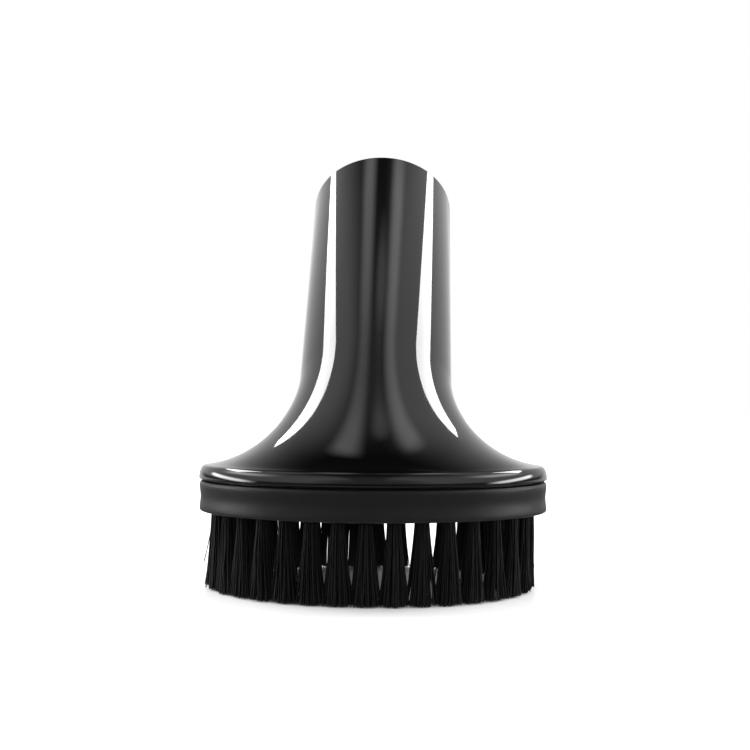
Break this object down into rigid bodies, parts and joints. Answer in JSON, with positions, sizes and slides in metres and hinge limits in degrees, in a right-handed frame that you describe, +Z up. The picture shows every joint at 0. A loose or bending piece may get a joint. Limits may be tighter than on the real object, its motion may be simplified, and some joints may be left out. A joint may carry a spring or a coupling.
{
  "type": "vacuum dusting brush",
  "caption": "Oval dusting brush for a vacuum wand: a gloss flared hood with a leaning socket and a satin ring of soft bristle tufts.",
  "frame": {"origin": "middle of the oval bristle ring, at the plane of the bristle tips that it stands on", "axes": "+Z up from the bristle tips, +X along the oval head's width, +Y towards the back, where the socket leans"},
  "size_m": [0.0762, 0.0923, 0.1033],
  "materials": {
    "gloss_black": "glossy",
    "satin_black": "satin",
    "bristle_black": "satin",
    "anchor_steel": "satin"
  },
  "bodies": {
    "root": {"body": "gloss_black", "bristle_ring": "satin_black", "tuft_01": "bristle_black", "tuft_02": "bristle_black", "tuft_03": "bristle_black", "tuft_04": "bristle_black", "tuft_05": "bristle_black", "tuft_06": "bristle_black", "tuft_07": "bristle_black", "tuft_08": "bristle_black", "tuft_09": "bristle_black", "tuft_10": "bristle_black", "tuft_11": "bristle_black", "tuft_12": "bristle_black", "tuft_13": "bristle_black", "tuft_14": "bristle_black", "tuft_15": "bristle_black", "tuft_16": "bristle_black", "tuft_17": "bristle_black", "tuft_18": "bristle_black", "tuft_19": "bristle_black", "tuft_20": "bristle_black", "tuft_21": "bristle_black", "tuft_22": "bristle_black", "tuft_23": "bristle_black", "tuft_24": "bristle_black", "tuft_25": "bristle_black", "tuft_26": "bristle_black", "tuft_27": "bristle_black", "tuft_28": "bristle_black", "tuft_29": "bristle_black", "tuft_30": "bristle_black", "tuft_31": "bristle_black", "tuft_32": "bristle_black", "tuft_33": "bristle_black", "tuft_34": "bristle_black", "tuft_anchors": "anchor_steel"}
  },
  "joints": []
}
